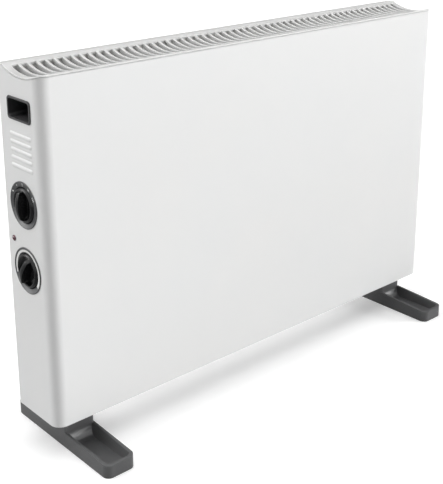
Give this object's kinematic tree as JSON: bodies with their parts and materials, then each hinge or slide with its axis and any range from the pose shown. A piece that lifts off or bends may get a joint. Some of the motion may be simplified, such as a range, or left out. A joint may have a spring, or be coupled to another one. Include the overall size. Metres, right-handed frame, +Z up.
{
  "type": "convector heater",
  "caption": "Free-standing electric convector heater: slim white case with a slotted trough top, hand grips, two side dials and low tray feet.",
  "frame": {"origin": "middle of the footprint, on the floor", "axes": "+X to the right seen from the front, the front faces -Y, +Z up"},
  "size_m": [0.6102, 0.176, 0.417],
  "materials": {
    "white_paint": "satin powder coat",
    "white_plastic": "satin moulded",
    "dark_plastic": "fine grain",
    "black_plastic": "glossy moulded",
    "red_lens": "clear tinted",
    "inlet_plastic": "moulded",
    "zinc_steel": "zinc plated",
    "galvanised": "galvanised sheet",
    "element_aluminium": "extruded",
    "ceramic": "fired ceramic",
    "brass": "plain",
    "bakelite": "moulded",
    "nylon": "moulded",
    "rubber": "moulded",
    "brown_wire": "insulation",
    "blue_wire": "insulation",
    "green_wire": "insulation"
  },
  "bodies": {
    "heater": {"front_casing": "white_paint", "rear_panel": "white_paint", "bottom_plate": "white_paint", "top_grille": "white_plastic", "left_grip_cup": "dark_plastic", "right_grip_cup": "dark_plastic", "left_foot": "dark_plastic", "right_foot": "dark_plastic", "heat_dial_cup": "dark_plastic", "thermostat_dial_cup": "dark_plastic", "pilot_lens": "red_lens", "cord_inlet": "inlet_plastic", "foot_screws": "zinc_steel", "foot_nuts": "zinc_steel", "rear_screws": "zinc_steel", "grille_screws": "zinc_steel", "heat_switch_screws": "zinc_steel", "thermostat_screws": "zinc_steel", "thermostat_frame": "zinc_steel", "thermostat_rivet": "zinc_steel", "bracket_rivets": "zinc_steel", "baffle_rivets": "zinc_steel", "cutout_rivets": "zinc_steel", "earth_stud": "zinc_steel", "earth_nuts": "zinc_steel", "thermal_cutout": "zinc_steel", "bimetal_blade": "zinc_steel", "bay_partition": "galvanised", "left_element_bracket": "galvanised", "right_element_bracket": "galvanised", "rear_baffle": "galvanised", "lower_heating_element": "element_aluminium", "upper_heating_element": "element_aluminium", "element_bushes": "ceramic", "thermostat_spacers": "ceramic", "heat_switch_terminals": "brass", "contact_blade": "brass", "element_pins": "brass", "neutral_strap": "brass", "cutout_terminals": "brass", "terminal_screws": "brass", "earth_lug": "brass", "heat_switch": "bakelite", "terminal_block": "nylon", "pilot_holder": "nylon", "wire_grommet": "rubber", "live_wire": "brown_wire", "switched_wire": "brown_wire", "element_wires": "brown_wire", "neutral_wire": "blue_wire", "return_wire": "blue_wire", "earth_wire": "green_wire"},
    "heat_control": {"heat_knob": "black_plastic", "heat_spindle": "zinc_steel"},
    "thermostat_control": {"thermostat_knob": "black_plastic", "thermostat_spindle": "zinc_steel"}
  },
  "joints": [
    {"name": "heat_selector_turn", "type": "hinge", "parent": "heater", "child": "heat_control", "pos_m": [-0.2961, 0.01, 0.2769], "axis": [1, 0, 0], "range_deg": [-60, 60]},
    {"name": "thermostat_turn", "type": "hinge", "parent": "heater", "child": "thermostat_control", "pos_m": [-0.2961, 0.01, 0.206], "axis": [1, 0, 0], "range_deg": [-138, 102]}
  ]
}
